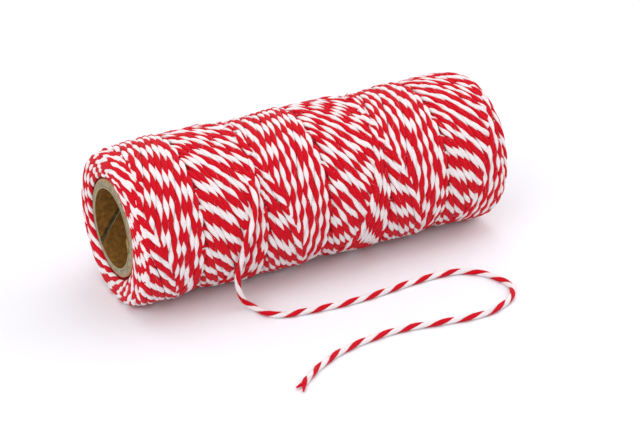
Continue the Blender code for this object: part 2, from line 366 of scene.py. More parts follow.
# %% Route of the loose end
LAST_STRETCH_ON_WINDING = (
    (-26.2, -16.9, 37.3),
    (-26.2, -18.6, 37.6),
    (-26.3, -20.6, 36.9),
    (-26.5, -22.1, 35.5),
    (-27.2, -23.8, 32.1),
    (-28.7, -25.1, 27.8),
)
LOOSE_END_ROUTE = (
    (-31.3, -26.0, 23.2),
    (-31.9, -25.9, 20.6),
    (-32.6, -25.5, 17.6),
    (-33.3, -25.0, 14.4),
    (-33.7, -24.5, 11.0),
    (-33.5, -24.2, 7.6),
    (-32.7, -24.3, 4.4),
    (-31.5, -25.0, 2.1),
    (-30.0, -27.4, 1.1),
    (-28.6, -31.0, 1.0),
    (-26.4, -34.0, 1.0),
    (-23.0, -35.6, 1.0),
    (-18.6, -36.5, 1.0),
    (-12.1, -37.5, 1.0),
    (-3.9, -38.3, 1.0),
    (4.9, -38.2, 1.0),
    (13.6, -37.5, 1.0),
    (22.9, -37.0, 1.0),
    (31.2, -37.4, 1.0),
    (36.6, -39.0, 1.0),
    (40.6, -42.3, 1.0),
    (43.6, -48.0, 1.0),
    (44.1, -53.6, 1.0),
    (42.0, -57.8, 1.0),
    (38.0, -60.8, 1.0),
    (33.9, -62.6, 1.0),
    (29.0, -63.6, 1.0),
    (23.1, -63.4, 1.0),
    (15.6, -62.0, 1.0),
    (5.0, -59.8, 1.0),
    (-2.0, -59.2, 1.0),
    (-8.4, -59.5, 1.0),
    (-15.0, -60.3, 1.0),
    (-22.4, -62.4, 1.0),
    (-30.1, -66.1, 1.0),
    (-34.8, -69.2, 1.0),
    (-37.8, -71.8, 1.0),
)


def smooth_line(corners, steps=24):
    """A smooth curve through the corners, leaving each along the line between its neighbours."""
    corners = [Vector(corner) for corner in corners]
    dense = []
    for i in range(len(corners) - 1):
        start = corners[i]
        end = corners[i + 1]
        span = (end - start).length
        leave = start + (end - corners[max(i - 1, 0)]).normalized() * span / 3
        arrive = end - (corners[min(i + 2, len(corners) - 1)] - start).normalized() * span / 3
        dense += interpolate_bezier(start, leave, arrive, end, steps)[:-1]
    dense.append(corners[-1])
    return np.array([list(point) for point in dense])


loose_path = smooth_line(LAST_STRETCH_ON_WINDING + LOOSE_END_ROUTE) / 1000
loose_along = distance_along(loose_path)
from_exit = loose_path - np.array(LOOSE_END_ROUTE[0]) / 1000
leaves_at = int(np.argmin(np.linalg.norm(from_exit, axis=1)))
loose_along -= loose_along[leaves_at]

# %% The loose end's twine
# Middles of the red lozenges, in millimetres from where the twine leaves the winding
RED_LOZENGES = (
    -18.0, -9.0, 0.6, 11.3, 22.4, 31.3, 39.2, 47.2, 55.8, 65.0, 73.9, 82.9, 91.9, 100.8, 109.8,
    118.9, 128.6, 139.2, 148.6, 157.6, 167.4, 177.2, 186.2, 194.5, 202.7,
)
# Turns of the twist that show at a lozenge's middle, at these distances: it faces the camera
FACING = ((0, 92, 110, 130, 175, 204), (0.92, 0.92, 0.86, 1.08, 1.05, 1.0))
LOZENGE_PITCH = 8.5
ON_TABLE_BELOW = 0.004
SMOOTHED_OVER = 31
LOOSE_STEP = LOOSE_LAY / 18

loose_up = np.tile([0.0, 0.0, 1.0], (len(loose_path), 1))
steep = np.clip(loose_path[:, 2:3] / ON_TABLE_BELOW, 0, 1)
beside = loose_path * np.array([0.0, 1.0, 1.0]) - np.array([0.0, 0.0, AXIS_HEIGHT / 1000])
beside[:, 2] = np.maximum(beside[:, 2], 0.0002)
loose_up = unit(loose_up * (1 - steep) + unit(beside) * steep)
lozenge = np.array(RED_LOZENGES)
turn_count = np.arange(len(lozenge)) + np.interp(lozenge, *FACING)
lozenge = np.append(lozenge, lozenge[-1] + LOZENGE_PITCH)
turn_count = np.append(turn_count, turn_count[-1] + 1)
loose_turns = np.interp(loose_along * 1000, lozenge, turn_count)
loose_turns = np.pad(loose_turns, SMOOTHED_OVER // 2, "reflect", reflect_type="odd")
loose_turns = np.convolve(loose_turns, np.ones(SMOOTHED_OVER) / SMOOTHED_OVER, "valid")


def loose_stretch(first, last):
    """The part of the loose path between these two points, as a line of round twine."""
    return {
        "points": loose_path[first:last],
        "up": loose_up[first:last],
        "twist": -2 * np.pi * loose_turns[first:last],
        "size": np.full(last - first, 0.95),
        "red": 0.98,
        "pressed": ROUND,
    }


loose_line = loose_stretch(leaves_at, len(loose_path))
winding_line = loose_stretch(0, leaves_at + 1)
loose_end = twine_mesh("loose_end_twine", [loose_line], LOOSE_STEP)
on_winding = twine_mesh("last_stretch_on_winding", [winding_line], LOOSE_STEP)
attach(on_winding, "root")
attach(loose_end, "root")
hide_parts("loose_end")

# %% The frayed tip
# The red ply is cut a little longer, and its yarns part into two points.
FORK_START = Vector((-37.0, -71.1, 1.1)) / 1000
FORK_ENDS = (
    Vector((-39.9, -71.6, 0.7)) / 1000,
    Vector((-39.0, -74.2, 0.6)) / 1000,
)

fork_points = []
for fork_end in FORK_ENDS:
    reach = fork_end - FORK_START
    bpy.ops.mesh.primitive_cone_add(
        vertices=12,
        radius1=0.00075,
        radius2=0.00022,
        depth=reach.length,
        location=(FORK_START + fork_end) / 2,
        rotation=reach.to_track_quat("Z", "Y").to_euler(),
    )
    fork_points.append(bpy.context.object)
    bpy.ops.object.transform_apply(location=True, rotation=True, scale=True)
    deselect_all()
for point in fork_points:
    point.select_set(True)
bpy.context.view_layer.objects.active = fork_points[0]
bpy.ops.object.join()
fork = bpy.context.object
fork.name = "loose_end_fork"
rounded = fork.modifiers.new("soft ends", "BEVEL")
rounded.width = 0.0002
rounded.segments = 3
bpy.ops.object.modifier_apply(modifier=rounded.name)
bpy.ops.object.shade_smooth()
fork.data.materials.append(RED_COTTON)
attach(fork, "root")
deselect_all()
print("fork", [round(side * 1000, 1) for side in fork.dimensions], "mm")

# %% [markdown]
# ## Form of the winding
#
# The outside of the winding is one smooth surface. Its place is given by two numbers: how far
# along the profile from one end to the other, and the angle round the tube, from straight up
# towards the front. Each band swells a little and ends in a low step over the next band. The
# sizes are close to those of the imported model.

# %% Sizes of the bands, in millimetres
BAND_PITCH = 20.94
FIRST_BAND_EDGE = 19.2
BAND_SWING = 10.7
SWING_SHARPNESS = 0.99
BANDS = 6
LAST_TURN_ANGLE = math.radians(15)
MEAN_RADIUS_SHARE = 0.988
SWELL_SHARE = 0.026
BAND_STEP = 0.4

# Profile of one rounded end: way along the profile, distance in from the tube's end, and share
# of the wound radius
END_PROFILE = np.array([
    (-7.9, 0.30, 0.635),
    (-6.2, -0.72, 0.70),
    (-4.0, -1.05, 0.795),
    (-2.05, -0.85, 0.880),
    (-0.3, -0.20, 0.950),
    (1.6, 1.30, 0.985),
    (3.84, 3.70, 1.003),
    (6.0, 6.0, 1.0),
])


def band_of(way):
    return np.clip(np.ceil((way - FIRST_BAND_EDGE) / BAND_PITCH), 0, BANDS - 1)


def swell_share(way, angle):
    """Wound radius at this place as a share of the mean, from the band's swell and step."""
    way = np.clip(way, 3.0, TUBE_LENGTH - 3.0)
    band = band_of(way)
    into = way - (FIRST_BAND_EDGE + (band - 1) * BAND_PITCH)
    last_turn = LAST_TURN_ANGLE + np.where(band % 2 == 1, 0.0, np.pi)
    to_right = 0.5 - 0.5 * np.cos(angle - last_turn)
    crest = BAND_PITCH * (0.22 + 0.76 * to_right)
    swell = SWELL_SHARE * np.cos(np.pi * (into - crest) / BAND_PITCH)
    step = BAND_STEP / WOUND_RADIUS * (into / BAND_PITCH - 0.5)
    return MEAN_RADIUS_SHARE + swell + step


def form_point(way, angle):
    """A point on the outside of the winding, in millimetres."""
    way, angle = np.broadcast_arrays(np.asarray(way, float), np.asarray(angle, float))
    far = way > TUBE_LENGTH / 2
    from_end = np.where(far, TUBE_LENGTH - way, way)
    inset = np.zeros_like(from_end)
    share = np.zeros_like(from_end)
    for offset in (-0.9, -0.45, 0.0, 0.45, 0.9):
        inset = inset + np.interp(from_end + offset, END_PROFILE[:, 0], END_PROFILE[:, 1]) / 5
        share = share + np.interp(from_end + offset, END_PROFILE[:, 0], END_PROFILE[:, 2]) / 5
    inset = np.where(from_end > 5.0, from_end, inset)
    rise = np.clip((share - 0.665) / 0.335, 0, 1)
    rise = rise * rise * (3 - 2 * rise)
    radius = WOUND_RADIUS * share * (1 + rise * (swell_share(way, angle) - 1))
    x = np.where(far, TUBE_LENGTH - inset, inset) - TUBE_LENGTH / 2
    return np.stack([x, -radius * np.sin(angle), AXIS_HEIGHT + radius * np.cos(angle)], -1)


def form_normal(way, angle):
    along = form_point(way + 0.3, angle) - form_point(way - 0.3, angle)
    around = form_point(way, angle + 0.02) - form_point(way, angle - 0.02)
    return unit(np.cross(around, along))


test = form_normal(np.array([60.0]), np.array([0.0]))[0]
print("outside faces", test.round(2))

# %% [markdown]
# ## Turns of one band
#
# The twine goes round and round while its place across the band moves steadily from side to
# side, a little later in each turn. So the turns lie slanting one way right of the last turn,
# and the other way left of it. The function below follows the twine back from its end, keeps
# the stretches that newer turns leave open, and lets the ends of each stretch dive under.

# %% Follow the twine of one band
TWINE_WIDTH = 2.0
TURN_LAG = math.radians(14.6)
LAYER_DROP = 0.16
TURN_STEP = math.radians(0.6)
EDGE_START = math.radians(11)
NEWEST_LIFT = 0.20
PROUD = 0.45
DIVE_ANGLE = math.radians(8)
DIVE_DEPTH = 1.5
BAND_TURN_ANGLE = np.radians([195, 22, 195, 15, 195, 15])
# In this band the twine goes on past its last turn to where the loose end leaves it
LOOSE_END_BAND = 1
ON_TO_LOOSE_END = math.radians(69)
# Slow wobbles of the twine across the band: period in radians round the tube, and size
WOBBLES = ((1.0, 0.16), (2.7, 0.14), (0.37, 0.07), (0.13, 0.03))


def swing_place(phase):
    """Place across the band, from -1 to 1, at a steady speed with quick turns at both sides."""
    return np.arcsin(SWING_SHARPNESS * np.cos(phase)) / math.asin(SWING_SHARPNESS)


def layer_height(swing, lag):
    """How far a turn lies below its newer neighbours where they overlap it."""
    height = np.zeros_like(swing)
    for newer, share in ((1, 1.0), (2, 0.5), (3, 0.25)):
        here = swing_place(swing + (newer - 1) * TURN_LAG)
        there = swing_place(swing + newer * TURN_LAG)
        gap = 0.96 * BAND_SWING * np.abs(here - there)
        overlap = np.sqrt(np.clip(TWINE_WIDTH**2 - gap * gap, 0, None))
        exists = (lag >= newer * TURN_LAG) & (swing + newer * TURN_LAG < np.pi)
        exists = exists & (newer * TURN_LAG <= 2 * np.pi - lag - 2 * swing)
        height = height - LAYER_DROP * share * overlap * exists
    return height


def crossing_height(past_edge, from_turn):
    """Lift of a band's twine where the band begins. It comes out from under the edge of the
    band before, but lies over that edge where its newest turns swing round."""
    over = np.clip((-np.cos(from_turn) - 0.45) / 0.35, 0, 1)
    under = 1.5 * np.clip((1.1 - past_edge) / 1.6, 0, 1) ** 1.5
    above = 0.55 * np.clip((1.6 - past_edge) / 1.6, 0, 1)
    return over * above - (1 - over) * under


def near_band_start(angle):
    """Where the first band begins beside the end turns: further in at the top and behind."""
    top = np.clip(2.2 * np.cos(angle + 0.52), 0, 1)
    return -0.8 + 5.3 * top * top * (3 - 2 * top)


def band_lines(band, rng):
    """All the stretches of twine that show in one band."""
    centre = FIRST_BAND_EDGE + band * BAND_PITCH - BAND_SWING - 0.4
    phase_end = BAND_TURN_ANGLE[band]
    angle_end = phase_end + (ON_TO_LOOSE_END if band == LOOSE_END_BAND else 0.0)
    back = np.arange(0, (2 * np.pi) ** 2 / TURN_LAG, TURN_STEP)
    angle = angle_end - back
    lag = TURN_LAG * back / (2 * np.pi)
    phase = (angle - phase_end - lag) % (2 * np.pi)
    swing = phase % np.pi
    open_here = swing <= np.pi - np.maximum(lag / 2, np.where(lag > TURN_LAG, 0.3, 0.0))
    open_here &= (swing >= EDGE_START) | (lag < TURN_LAG)
    wobble = np.zeros_like(back)
    for period, size in WOBBLES:
        start = rng.uniform(0, 2 * np.pi)
        wobble += size * np.sin(back / period + start)
    way = centre + BAND_SWING * swing_place(phase) + wobble
    height = layer_height(swing, lag)
    height += NEWEST_LIFT * np.clip(1.5 - lag / TURN_LAG, 0, 1)
    height += PROUD + 0.06 * np.sin(back * 1.7 + rng.uniform(0, 6))
    if band == 0:
        height -= 1.6 * np.clip((near_band_start(angle) - way) / 0.9 + 0.5, 0, 1)
    else:
        edge_before = centre + BAND_SWING + 0.4 - BAND_PITCH
        height += crossing_height(way - edge_before, angle - phase_end)
    edges = np.flatnonzero(np.diff(np.concatenate([[0], open_here.astype(int), [0]])))
    reach = int(DIVE_ANGLE / TURN_STEP)
    lines = []
    for first, last in zip(edges[::2], edges[1::2]):
        if last - first < 6:
            continue
        low = max(first - reach, 0)
        high = min(last + reach, len(back))
        index = np.arange(low, high)
        beyond = np.maximum(first - index, index - last + 1).clip(0, None) / reach
        sink = height[index] - DIVE_DEPTH * np.clip(beyond, 0, 1) ** 1.3
        middle = (first + last) // 2
        lines.append({
            "way": way[index],
            "angle": angle[index],
            "height": sink,
            "turn": back[middle] / (2 * np.pi),
            "rising": phase[middle] < np.pi,
        })
    return lines


rng = np.random.default_rng(7)
band_stretches = [band_lines(band, rng) for band in range(BANDS)]
print("stretches in each band:", [len(lines) for lines in band_stretches])

# %% Lay the twine of each band
WINDING_STEP = 0.00075
RADIUS_MM = 1000 * TWINE_RADIUS
RED_SHARE = 1.13
# Slow changes along the twine, by chance where they start: period in metres, how far the twist
# runs ahead, and how much thicker the twine gets
UNEVEN_TWINE = ((0.019, 0.05, 0.02), (0.047, 0.10, 0.02), (0.008, 0.0, 0.025))


def twine_line(stretch, twist_start, lay, rng):
    """A stretch on the form as a line of twine, pressed flat on the turns below."""
    way = stretch["way"]
    angle = stretch["angle"]
    normal = form_normal(way, angle)
    depth = stretch["height"] - RADIUS_MM * PRESSED[0]
    points = form_point(way, angle) + normal * depth[:, None]
    points[:, 2] = np.maximum(points[:, 2], 0.85 * RADIUS_MM)
    points = points / 1000
    along = distance_along(points)
    turns = along / lay
    size = np.ones(len(points))
    for period, tighter, thicker in UNEVEN_TWINE:
        turns = turns + tighter * np.sin(2 * np.pi * along / period + rng.uniform(0, 6.28))
        size = size + thicker * np.sin(2 * np.pi * along / period + rng.uniform(0, 6.28))
    return {
        "points": points,
        "up": normal,
        "twist": twist_start - 2 * np.pi * turns,
        "size": size,
        "red": RED_SHARE,
        "pressed": PRESSED,
    }


# How much further the twist has gone after one turn, as a share of the lay: right of the last
# turn of each band, and left of it
TWIST_STEP = (
    (0.107, 0.30),
    (0.06, 0.06),
    (0.236, 0.14),
    (-0.06, -0.06),
    (0.107, 0.12),
    (0.163, 0.163),
)
ARC_PER_RADIAN = 0.0250
# Angle round the tube at which the lozenges of neighbouring turns lie in these steps
IN_STEP_AT = math.radians(80)
# Spread by chance: the steps add up to a drift, and each turn and its lay differ a little
DRIFT_SPREAD = 0.10
TURN_SPREAD = 0.07
LAY_SPREAD = 0.075

band_twines = []
for band, stretches in enumerate(band_stretches):
    lines = []
    drift = [0.0, 0.0]
    for stretch in stretches:
        side = 0 if stretch["rising"] else 1
        drift[side] += rng.normal(0, DRIFT_SPREAD)
        count = round(stretch["turn"])
        share = TWIST_STEP[band][side] * count + drift[side] + rng.normal(0, TURN_SPREAD)
        lay = WOUND_LAY * (1 + rng.normal(0, LAY_SPREAD))
        angle = stretch["angle"] + 2 * np.pi * count
        in_step = IN_STEP_AT + 2 * np.pi * np.round((angle.mean() - IN_STEP_AT) / (2 * np.pi))
        start = share + in_step * ARC_PER_RADIAN / WOUND_LAY
        start += (angle[0] - in_step) * ARC_PER_RADIAN / lay
        lines.append(twine_line(stretch, 2 * np.pi * start, lay, rng))
    piece = twine_mesh("wound_band_" + "abcdef"[band], lines, WINDING_STEP)
    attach(piece, "root")
    band_twines.append(lines)

# %% [markdown]
# ## Stray fibres
#
# Cotton twine is fuzzy. Single fibres stand off it, most of them along the twine, and soften
# its outline. Hair particles could do this, but they are no mesh. So each fibre is a thin
# three-sided thread that leaves the ply with its colour and curves away. They are placed by
# chance, with a fixed seed, so that every run gives the same fuzz.

# %% Fibres along the twine
FIBRE_RADIUS = 0.000018
FIBRE_STEPS = 4
FIBRE_CORNERS = (0, 2.094, 4.189)
FIBRE_LENGTHS = (0.0008, 0.0026)
FIBRE_RISES = (0.0001, 0.0005)
FIBRE_CURL = 0.0004
# Furthest place of a fibre's root round the twine, from straight outwards, in radians
ROOT_SPREAD = 1.4


def fibre_mesh(name, lines, per_metre, rng):
    """One mesh of stray fibres along these lines of twine."""
    points, faces, finish = [], [], []
    for line in lines:
        path = line["points"]
        tangent = unit(np.gradient(path, axis=0))
        count = rng.poisson(per_metre * np.linalg.norm(np.diff(path, axis=0), axis=1).sum())
        for index in rng.integers(2, len(path) - 2, count):
            along = tangent[index]
            out = unit(line["up"][index] - along * np.dot(line["up"][index], along))
            across = np.cross(along, out)
            place = rng.uniform(-ROOT_SPREAD, ROOT_SPREAD)
            away = np.cos(place) * out + np.sin(place) * across
            sideways = np.cross(along, away)
            heading = along * rng.choice((-1, 1)) + sideways * rng.normal(0, 0.5)
            length = rng.uniform(*FIBRE_LENGTHS)
            rise = rng.uniform(*FIBRE_RISES)
            curl = rng.normal(0, FIBRE_CURL)
            reach = np.linspace(0, 1, FIBRE_STEPS)[:, None]
            surface = np.cos(place) * out * line["pressed"][0]
            surface = surface + np.sin(place) * across * line["pressed"][1]
            thread = path[index] + surface * TWINE_RADIUS * 0.97 + heading * length * reach
            thread = thread + away * rise * reach**1.5 + sideways * curl * reach**2
            thread[:, 2] = np.maximum(thread[:, 2], 0.00003)
            start = len(points)
            for step, middle in enumerate(thread):
                width = FIBRE_RADIUS * (1.0 if step < FIBRE_STEPS - 1 else 0.4)
                for corner in FIBRE_CORNERS:
                    offset = away * np.cos(corner) + sideways * np.sin(corner)
                    points.append(middle + offset * width)
            for step in range(FIBRE_STEPS - 1):
                for corner in range(3):
                    a = start + 3 * step + corner
                    b = start + 3 * step + (corner + 1) % 3
                    faces.append((a, b, b + 3, a + 3))
                    finish.append(int(np.cos(place - line["twist"][index]) < 0))
    mesh = bpy.data.meshes.new(name)
    mesh.from_pydata(points, [], faces)
    mesh.uv_layers.new(name="UVMap")
    print(name, len(finish) // (3 * FIBRE_STEPS - 3), "fibres")
    return cotton_object(mesh, finish)


# Each piece of fuzz: its name, the twine that it grows on, and its fibres in a metre of twine
for name, lines, per_metre in (
    ("fuzz_bands_abc", sum(band_twines[:3], []), 620),
    ("fuzz_bands_def", sum(band_twines[3:], []), 620),
    ("fuzz_loose_end", [loose_line], 900),
):
    piece = fibre_mesh(name, lines, per_metre, rng)
    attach(piece, "root")

# %% [markdown]
# ## Twine on the two ends
#
# At both ends the winding has a rounded side. The twine there goes round the tube, one turn
# outside the other, from the tube's wall out over the shoulder, where the first and the last
# band cover it. It is one long spiral, laid by the same functions as the bands, so that both
# have the same twine. The first band starts further in at the top and behind, so more of the
# near turns show there. Each of these turns has its lozenges a little ahead or behind at the
# top.

# %% Twine round the tube at both ends
END_START = -6.9
END_TURN_PITCH = 1.45
END_TWISTS = 18.3
# Share of a lay by which each turn is ahead of the first one, at the top
END_STAGGER = (0.0, 0.46, 0.10, 0.62, 0.22, 0.70, 0.28, 0.66, 0.30, 0.70)

for end, name, turns_round in ((0, "end_turns_near", 8.3), (1, "end_turns_far", 6)):
    angle = np.arange(0, 2 * np.pi * turns_round, TURN_STEP)
    outward = angle / (2 * np.pi)
    from_end = END_START + END_TURN_PITCH * outward
    slack = 0.30 * np.sin(0.97 * angle + 1.0 + end) + 0.12 * np.sin(3.3 * angle)
    from_end += slack * np.clip(outward, 0, 1)
    way = TUBE_LENGTH - from_end if end else from_end
    height = 0.10 + 0.10 * np.sin(2.3 * angle + 2 * end) + 0.05 * np.sin(7.1 * angle)
    if end:
        height += 0.35 - 0.8 * np.clip(from_end - 0.8, 0, 1)
    else:
        height += 0.15 - 0.8 * np.clip((from_end - 1) / 2.5, 0, 1)
        height -= 0.5 * np.clip(from_end - near_band_start(angle), 0, 1)
    stretch = {"way": way, "angle": -angle, "height": height}
    line = twine_line(stretch, 0.0, WOUND_LAY, rng)
    uneven = 1.3 * np.sin(0.61 * angle + end) + 1.0 * np.sin(2.27 * angle)
    uneven += 0.5 * np.sin(5.3 * angle)
    stagger = 2 * np.pi * np.interp(outward, range(len(END_STAGGER)), END_STAGGER)
    stagger *= np.clip(1.5 * np.cos(angle + 0.4), 0, 1)
    line["twist"] = uneven - END_TWISTS * angle - stagger
    piece = twine_mesh(name, [line], WINDING_STEP)
    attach(piece, "root")

# %% [markdown]
# ## Twine below the surface
#
# Between the turns that show, older turns lie a little deeper. One closed body in their place
# stops the light, from the tube out to just under the turns that show. Its colour is a darker
# red, painted as the shade between the turns. It starts as a torus, which is closed already, and
# each of its points is moved to its place on the form.

# %% The deeper twine
DEEP = 0.95
BESIDE_TUBE = 15.4
ROWS = 110
ROWS_AT_END = 12
COLUMNS = 96

bpy.ops.mesh.primitive_torus_add(
    major_segments=COLUMNS, minor_segments=ROWS, major_radius=0.02, minor_radius=0.004
)
deeper = bpy.context.object
deeper.name = "deeper_twine"
ways = np.concatenate([
    [-8.5],
    np.linspace(-7.0, 6.0, ROWS_AT_END),
    np.linspace(8.0, 117.0, ROWS - 2 * ROWS_AT_END - 2),
    np.linspace(119.0, 132.0, ROWS_AT_END),
    [133.5],
])
turns = 2 * np.pi * np.arange(COLUMNS) / COLUMNS
grid_way, grid_turn = np.meshgrid(ways, turns)
shell = form_point(grid_way, grid_turn) - DEEP * form_normal(grid_way, grid_turn)
shell[..., 2] = np.maximum(shell[..., 2], 0.1)
for edge in (0, -1):
    radial = shell[:, edge] - np.array([0, 0, AXIS_HEIGHT])
    length = np.linalg.norm(radial[:, 1:], axis=1)[:, None]
    shell[:, edge, 1:] = radial[:, 1:] / length * BESIDE_TUBE + np.array([0, AXIS_HEIGHT])
print("rows", shell.shape, "vertices", len(deeper.data.vertices))
deeper.data.vertices.foreach_set("co", (shell / 1000).reshape(-1).astype(np.float32))
deeper.data.update()
bpy.ops.object.mode_set(mode="EDIT")
bpy.ops.mesh.select_all(action="SELECT")
bpy.ops.mesh.normals_make_consistent(inside=False)
bpy.ops.object.mode_set(mode="OBJECT")
bpy.ops.object.shade_smooth()
# Painted shade: the deeper twine is a darker red
deeper.data.materials.append(DEEP_SHADE_COTTON)
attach(deeper, "root")
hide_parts("wound_twine")
deselect_all()

# %% [markdown]
# ## Board and paper
#
# The wall of the tube is grey board in thin layers, which show as fine rings on its cut ends,
# and its outermost paper is orange tan. The liner is brown kraft paper with small fibres. All
# read the place on the tube, so that the rings stay round its middle.

# %% Board and paper materials
# Scales of the noises, and sizes in metres. The two pairs are radii over which the colour goes
# over: to the outermost paper, and to the darker board painted as shade in the gap of the liner.
FINE_FIBRES = 1100
BLOTCHES = 620
LAYER_PITCH = 0.00047
LAYER_WAVER = 0.00018
OUTERMOST_PAPER = (0.01432, 0.01468)
GAP_SHADE_RADII = (0.01284, 0.01276)
FIBRE_HEIGHT = 0.00008


def blend(tree, factor, first, second):
    """A colour between the first and the second, each a fixed colour or another output."""
    mix = tree.nodes.new("ShaderNodeMix")
    mix.data_type = "RGBA"
    tree.links.new(factor, mix.inputs["Factor"])
    for socket, value in ((mix.inputs["A"], first), (mix.inputs["B"], second)):
        if isinstance(value, tuple):
            socket.default_value = (*value, 1)
        else:
            tree.links.new(value, socket)
    return mix.outputs["Result"]


def over_radii(tree, radius, radii):
    """From 0 to 1 as the radius goes from the first of these radii to the second."""
    place = tree.nodes.new("ShaderNodeMapRange")
    place.inputs["From Min"].default_value = radii[0]
    place.inputs["From Max"].default_value = radii[1]
    tree.links.new(radius, place.inputs["Value"])
    return place.outputs[0]


def board_material(name, colour, shaded, layered, mottling, gap_shade=None):
    material = bpy.data.materials.new(name)
    material.use_nodes = True
    tree = material.node_tree
    shader = tree.nodes["Principled BSDF"]
    coordinates = tree.nodes.new("ShaderNodeTexCoord")
    parts = tree.nodes.new("ShaderNodeSeparateXYZ")
    link_chain(tree, (coordinates.outputs["Object"], parts.inputs[0]))
    up = math_node(tree, "SUBTRACT", parts.outputs["Z"], AXIS_HEIGHT / 1000)
    across = math_node(tree, "MULTIPLY", parts.outputs["Y"], parts.outputs["Y"])
    square = math_node(tree, "ADD", across, math_node(tree, "MULTIPLY", up, up))
    radius = math_node(tree, "SQRT", square)
    fibres = tree.nodes.new("ShaderNodeTexNoise")
    fibres.inputs["Scale"].default_value = FINE_FIBRES
    fibres.inputs["Detail"].default_value = 6
    fibres.inputs["Roughness"].default_value = 0.7
    blotches = tree.nodes.new("ShaderNodeTexNoise")
    blotches.inputs["Scale"].default_value = BLOTCHES
    for noise in (fibres, blotches):
        link_chain(tree, (coordinates.outputs["Object"], noise.inputs["Vector"]))
    waver = math_node(tree, "MULTIPLY", fibres.outputs[0], LAYER_WAVER)
    warped = math_node(tree, "ADD", radius, waver)
    rings = math_node(tree, "MULTIPLY", warped, 2 * math.pi / LAYER_PITCH)
    rings = math_node(tree, "MULTIPLY", math_node(tree, "SINE", rings), layered)
    uneven = math_node(tree, "ADD", fibres.outputs[0], blotches.outputs[0])
    uneven = math_node(tree, "MULTIPLY", math_node(tree, "SUBTRACT", uneven, 1.0), mottling)
    factor = math_node(tree, "ADD", math_node(tree, "ADD", uneven, 0.45), rings)
    mottled = blend(tree, factor, colour, shaded)
    mottled = blend(tree, over_radii(tree, warped, OUTERMOST_PAPER), mottled, ORANGE_TAN)
    # Painted shade: inside the liner's gap the board gets a darker colour
    if gap_shade:
        painted_gap = blend(tree, factor, gap_shade, tuple(0.4 * part for part in gap_shade))
        mottled = blend(tree, over_radii(tree, radius, GAP_SHADE_RADII), mottled, painted_gap)
    bump = tree.nodes.new("ShaderNodeBump")
    bump.inputs["Strength"].default_value = 0.5
    bump.inputs["Distance"].default_value = FIBRE_HEIGHT
    link_chain(
        tree,
        (mottled, shader.inputs["Base Color"]),
        (factor, bump.inputs["Height"]),
        (bump.outputs["Normal"], shader.inputs["Normal"]),
    )
    shader.inputs["Roughness"].default_value = 0.85
    shader.inputs["Specular IOR Level"].default_value = 0.25
    return material


ORANGE_TAN = (0.42, 0.24, 0.12)
# The board in the liner's gap, painted darker as its shade
GAP_SHADE_BOARD = (0.165, 0.117, 0.047)
# Each of these has its colour and its shaded colour
GREY_BOARD = ((0.36, 0.31, 0.20), (0.20, 0.17, 0.11))
BROWN_PAPER = ((0.330, 0.152, 0.024), (0.110, 0.047, 0.008))
TORN_PAPER = ((0.45, 0.30, 0.115), (0.24, 0.15, 0.05))
PALE_PAPER = ((0.34, 0.27, 0.155), GREY_BOARD[0])
BOARD = board_material("grey board", *GREY_BOARD, layered=0.16, mottling=2.6, gap_shade=GAP_SHADE_BOARD)
KRAFT = board_material("kraft paper", *BROWN_PAPER, layered=0.0, mottling=1.5)
TORN = board_material("torn paper", *TORN_PAPER, layered=0.0, mottling=2.4)
CUT_PAPER = board_material("cut paper edge", *PALE_PAPER, layered=0.0, mottling=2.4)
print("board and paper")

# %% [markdown]
# ## Cardboard tube
#
# The wall is a thick ring of board. The liner inside it is one strip of paper, wound as a spiral
# that leaves a narrow gap between its edges. It is drawn as an open circle, swept along the
# tube while it turns, and thickened inwards.

# %% Wall of the tube
WALL_OUTER_RADIUS = 0.0150
LINER_OUTER_RADIUS = 0.0127
LINER_THICKNESS = 0.0005
RIM_ROUNDING = 0.00030
ROUND_STEPS = 120
SMOOTH_BELOW = math.radians(40)
TUBE_CENTRE = (0, 0, AXIS_HEIGHT / 1000)


def apply_modifiers(piece):
    bpy.context.view_layer.objects.active = piece
    for modifier in list(piece.modifiers):
        bpy.ops.object.modifier_apply(modifier=modifier.name)


bpy.ops.mesh.primitive_cylinder_add(
    vertices=ROUND_STEPS,
    radius=WALL_OUTER_RADIUS,
    depth=TUBE_LENGTH / 1000,
    end_fill_type="NOTHING",
    location=TUBE_CENTRE,
    rotation=(0, math.pi / 2, 0),
)
wall = bpy.context.object
wall.name = "tube_wall"
bpy.ops.object.transform_apply(location=True, rotation=True, scale=True)
thicken = wall.modifiers.new("thickness", "SOLIDIFY")
thicken.thickness = WALL_OUTER_RADIUS - LINER_OUTER_RADIUS
thicken.offset = -1
soften = wall.modifiers.new("rounded rims", "BEVEL")
soften.width = RIM_ROUNDING
soften.segments = 3
apply_modifiers(wall)
bpy.ops.object.shade_smooth_by_angle(angle=SMOOTH_BELOW)
wall.data.materials.append(BOARD)
deselect_all()
print("wall", [round(side * 1000, 1) for side in wall.dimensions], "mm")

# %% Liner of the tube
LINER_TURN = TUBE_LENGTH / 10.8
LINER_START_ANGLE = math.radians(-133)
HALF_GAP = math.radians(3.2)
LINER_STEPS = 110

